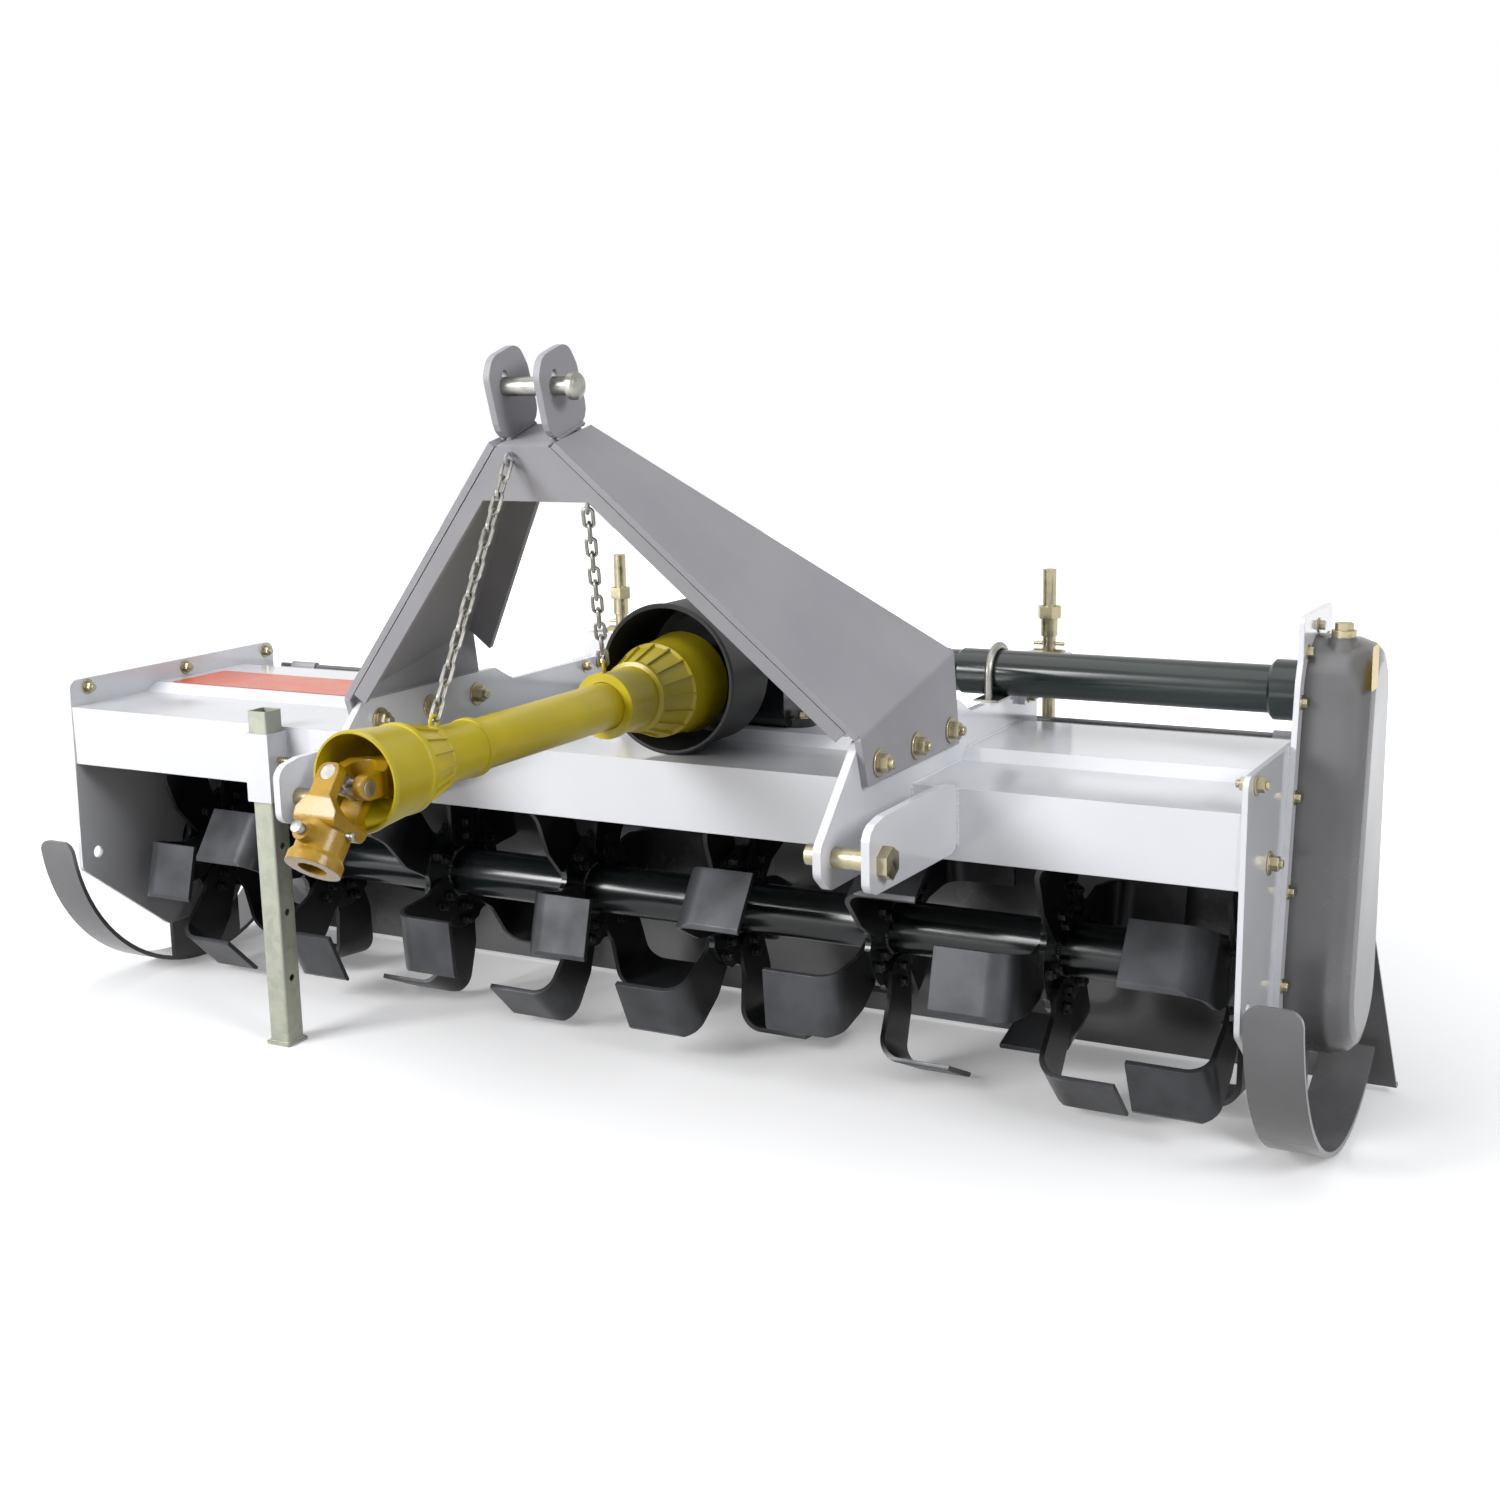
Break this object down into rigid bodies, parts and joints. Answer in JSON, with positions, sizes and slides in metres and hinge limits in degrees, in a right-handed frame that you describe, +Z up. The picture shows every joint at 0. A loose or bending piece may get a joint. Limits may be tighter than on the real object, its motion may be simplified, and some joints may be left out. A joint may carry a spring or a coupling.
{
  "type": "rotary tiller",
  "caption": "Tractor-mounted rotary tiller with a folded hood, tined rotor, three-point hitch mast, jointed drive shaft, side chain case, skids, parking leg and rear flap.",
  "frame": {"origin": "middle of the part's footprint on the floor", "axes": "+X to the chain-case side along the rotor, +Y to the rear, away from the tractor, +Z up"},
  "size_m": [2.3358, 1.3844, 1.154],
  "materials": {
    "white_paint": "gloss white paint",
    "grey_paint": "metallic grey paint",
    "black_paint": "gloss black paint",
    "green_black_paint": "dark gloss paint",
    "yellow_plastic": "yellow guard plastic",
    "yellow_cast": "yellow painted casting",
    "zinc": "yellow zinc plate",
    "bright_zinc": "zinc plated steel",
    "galvanised": "galvanised steel",
    "tine_steel": "black spring steel"
  },
  "bodies": {
    "frame": {"hood": "white_paint", "side_plate_left": "white_paint", "side_plate_right": "white_paint", "rotor_bearings": "black_paint", "chain_case_plate": "white_paint", "chain_case_cover": "grey_paint", "filler_plug": "zinc", "skids": "grey_paint", "skid_webs": "grey_paint", "hitch_ribs": "white_paint", "hitch_cheeks": "white_paint", "lower_pins": "zinc", "mast_arms": "grey_paint", "mast_head": "grey_paint", "mast_ears": "grey_paint", "top_pin": "bright_zinc", "gearbox": "black_paint", "input_shield": "black_paint", "cross_tube": "green_black_paint", "tube_clamp": "bright_zinc", "guard_front": "yellow_plastic", "guard_tube": "yellow_plastic", "guard_rear": "yellow_plastic", "chain_front": "bright_zinc", "chain_rear": "bright_zinc", "leg_sleeve": "white_paint", "leg_pin": "zinc", "flap_hinges": "grey_paint", "rod_brackets": "white_paint"},
    "rotor": {"rotor_shaft": "black_paint", "rotor_flanges": "black_paint", "tines": "tine_steel"},
    "drive_shaft": {"drive_yoke": "yellow_cast"},
    "joint_cross": {"cross": "bright_zinc"},
    "tractor_end": {"tractor_yoke": "yellow_cast"},
    "leg": {"parking_leg": "galvanised"},
    "rear_flap": {"flap": "grey_paint", "flap_lugs": "grey_paint"},
    "swivels": {"rod_swivels": "zinc"},
    "rods": {"adjuster_rods": "zinc"}
  },
  "joints": [
    {"name": "rotor_spin", "type": "hinge", "parent": "frame", "child": "rotor", "pos_m": [0, 0.397, 0.24], "axis": [1, 0, 0], "continuous": true},
    {"name": "drive_spin", "type": "hinge", "parent": "frame", "child": "drive_shaft", "pos_m": [0.168, 0, 0.65], "axis": [0, 1, 0], "continuous": true},
    {"name": "cross_pitch", "type": "hinge", "parent": "drive_shaft", "child": "joint_cross", "pos_m": [0.168, -0.596, 0.65], "axis": [1, 0, 0], "range_deg": [-104, 0]},
    {"name": "yoke_swing", "type": "hinge", "parent": "joint_cross", "child": "tractor_end", "pos_m": [0.168, -0.596, 0.65], "axis": [0, -0.788, 0.6157], "range_deg": [-30, 30]},
    {"name": "leg_slide", "type": "slide", "parent": "frame", "child": "leg", "axis": [0, 0, 1], "range_m": [0, 0.4]},
    {"name": "flap_hinge", "type": "hinge", "parent": "frame", "child": "rear_flap", "pos_m": [0, 0.655, 0.5405], "axis": [1, 0, 0], "range_deg": [0, 70]},
    {"name": "swivel_turn", "type": "hinge", "parent": "frame", "child": "swivels", "pos_m": [0.168, 0.678, 0.637], "axis": [1, 0, 0], "range_deg": [-1, 40]},
    {"name": "rod_slide", "type": "slide", "parent": "swivels", "child": "rods", "axis": [0, 0, 1], "range_m": [-0.001, 0.068]}
  ],
  "couplings": [
    {"joint": "drive_spin", "follows": "rotor_spin", "ratio": 2.5},
    {"joint": "swivel_turn", "follows": "flap_hinge", "ratio": 0.546},
    {"joint": "rod_slide", "follows": "flap_hinge", "m_per_rad": 0.055}
  ]
}
